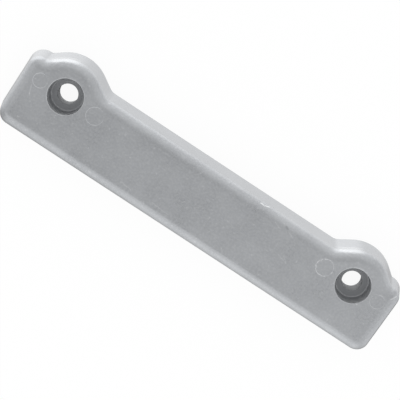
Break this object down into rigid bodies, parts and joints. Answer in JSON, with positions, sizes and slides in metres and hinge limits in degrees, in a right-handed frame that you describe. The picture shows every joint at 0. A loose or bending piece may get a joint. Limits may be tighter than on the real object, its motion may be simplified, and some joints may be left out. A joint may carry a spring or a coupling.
{
  "type": "sacrificial anode",
  "caption": "Bar-shaped zinc hull anode with a lobe at each counterbored fixing hole, drafted sides and a rounded front edge.",
  "frame": {"origin": "on the flat back face, at the middle of the line between the two fixing holes", "axes": "+X along the bar from one fixing hole to the other, +Y towards the side with the lobes, +Z out of the front face"},
  "size_m": [0.215, 0.0476, 0.019],
  "materials": {
    "cast_zinc": "as-cast zinc, satin light grey with a fine grain, light scuffs and no coating"
  },
  "bodies": {
    "root": {"anode_casting": "cast_zinc"}
  },
  "joints": []
}
